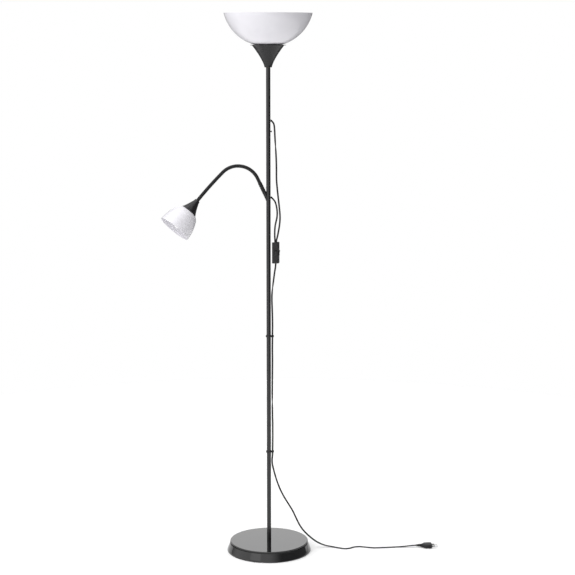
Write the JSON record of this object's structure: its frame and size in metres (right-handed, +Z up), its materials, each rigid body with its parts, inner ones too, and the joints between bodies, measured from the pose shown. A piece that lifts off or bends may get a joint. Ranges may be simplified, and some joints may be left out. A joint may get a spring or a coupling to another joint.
{
  "type": "floor lamp",
  "caption": "Torchiere floor lamp: round black base, slim pole, white bowl uplighter, gooseneck reading lamp and inline rocker switch.",
  "frame": {"origin": "on the floor, at the pole's axis under the base", "axes": "+Z up along the pole; the gooseneck leans to -X; the front is -Y; the leads hang on the +X side"},
  "size_m": [0.9041, 0.281, 1.76],
  "materials": {
    "powder_coat": "black powder coat, satin",
    "gloss_plastic": "high gloss black",
    "satin_plastic": "fine satin black",
    "white_plastic": "smooth milky white",
    "opal_glass": "opal white",
    "rubber": "flexible black sheath",
    "gooseneck": "ribbed black sleeve over a spring core",
    "zinc_steel": "zinc plated",
    "brass": "plain",
    "iron": "rough cast",
    "felt": "pressed felt"
  },
  "bodies": {
    "stand": {"base_cover": "gloss_plastic", "base_weight": "iron", "pole_stud": "zinc_steel", "base_washer": "zinc_steel", "base_nut": "zinc_steel", "base_pad": "felt", "pole_section_1": "powder_coat", "pole_section_2": "powder_coat", "pole_section_3": "powder_coat", "pole_section_4": "powder_coat", "pole_coupler_1": "zinc_steel", "pole_coupler_2": "zinc_steel", "pole_coupler_3": "zinc_steel", "cord_hook": "satin_plastic", "lead_clip_lower": "satin_plastic", "lead_clip_middle": "satin_plastic", "upper_grommet": "rubber", "reading_grommet": "rubber", "upper_cup": "satin_plastic", "bowl_shade": "white_plastic", "upper_lampholder": "satin_plastic", "upper_nipple": "brass", "upper_nut": "zinc_steel", "bowl_ring": "satin_plastic", "upper_bulb_cap": "zinc_steel", "upper_bulb": "opal_glass", "upper_wire": "rubber", "arm_socket": "satin_plastic", "arm_sleeve": "rubber", "arm_screw": "zinc_steel", "switch_front": "satin_plastic", "switch_back": "satin_plastic", "switch_screw": "zinc_steel", "switch_contacts": "brass", "upper_lead": "rubber", "reading_lead": "rubber", "mains_lead": "rubber", "plug_body": "rubber", "plug_pin_1": "zinc_steel", "plug_pin_2": "zinc_steel"},
    "link_1": {"gooseneck_1": "gooseneck"},
    "link_2": {"gooseneck_2": "gooseneck"},
    "link_3": {"gooseneck_3": "gooseneck"},
    "link_4": {"gooseneck_4": "gooseneck"},
    "link_5": {"gooseneck_5": "gooseneck"},
    "link_6": {"gooseneck_6": "gooseneck"},
    "link_7": {"gooseneck_7": "gooseneck"},
    "reading_lamp": {"gooseneck_8": "gooseneck", "reading_cup": "satin_plastic", "reading_shade": "white_plastic", "reading_lampholder": "satin_plastic", "reading_nipple": "brass", "shade_ring": "satin_plastic", "reading_bulb_cap": "zinc_steel", "reading_bulb": "opal_glass"},
    "rocker_reading_body": {"rocker_reading": "satin_plastic"},
    "rocker_upper_body": {"rocker_upper": "satin_plastic"}
  },
  "joints": [
    {"name": "gooseneck_bend_1", "type": "hinge", "parent": "stand", "child": "link_1", "pos_m": [-0.02761, 0, 1.22294], "axis": [0, -1, 0], "range_deg": [-12, 12]},
    {"name": "gooseneck_sway_1", "type": "hinge", "parent": "link_1", "child": "link_2", "pos_m": [-0.04402, 0, 1.25254], "axis": [0.7709, 0, 0.6369], "range_deg": [-20, 20]},
    {"name": "gooseneck_bend_2", "type": "hinge", "parent": "link_2", "child": "link_3", "pos_m": [-0.07109, 0, 1.27247], "axis": [0, -1, 0], "range_deg": [-20, 6]},
    {"name": "gooseneck_bend_3", "type": "hinge", "parent": "link_3", "child": "link_4", "pos_m": [-0.10435, -0.00007, 1.27726], "axis": [0.0168, -0.9999, 0.0017], "range_deg": [-20, 6]},
    {"name": "gooseneck_bend_4", "type": "hinge", "parent": "link_4", "child": "link_5", "pos_m": [-0.13589, -0.00188, 1.26581], "axis": [0.0746, -0.9959, 0.0504], "range_deg": [-20, 6]},
    {"name": "gooseneck_bend_5", "type": "hinge", "parent": "link_5", "child": "link_6", "pos_m": [-0.16042, -0.00617, 1.24283], "axis": [0.1133, -0.9867, 0.1167], "range_deg": [-18, 12]},
    {"name": "gooseneck_sway_2", "type": "hinge", "parent": "link_6", "child": "link_7", "pos_m": [-0.1833, -0.01292, 1.21869], "axis": [-0.7341, 0, 0.679], "range_deg": [-20, 20]},
    {"name": "gooseneck_bend_6", "type": "hinge", "parent": "link_7", "child": "reading_lamp", "pos_m": [-0.20521, -0.02206, 1.19443], "axis": [0.1966, -0.9548, 0.2231], "range_deg": [-20, 20]},
    {"name": "rocker_reading_tip", "type": "hinge", "parent": "stand", "child": "rocker_reading_body", "pos_m": [0.02299, -0.00525, 0.9971], "axis": [-0.9962, -0.0872, 0], "range_deg": [0, 14]},
    {"name": "rocker_upper_tip", "type": "hinge", "parent": "stand", "child": "rocker_upper_body", "pos_m": [0.03193, 0.00225, 0.9971], "axis": [-0.2588, -0.9659, 0], "range_deg": [0, 14]}
  ]
}
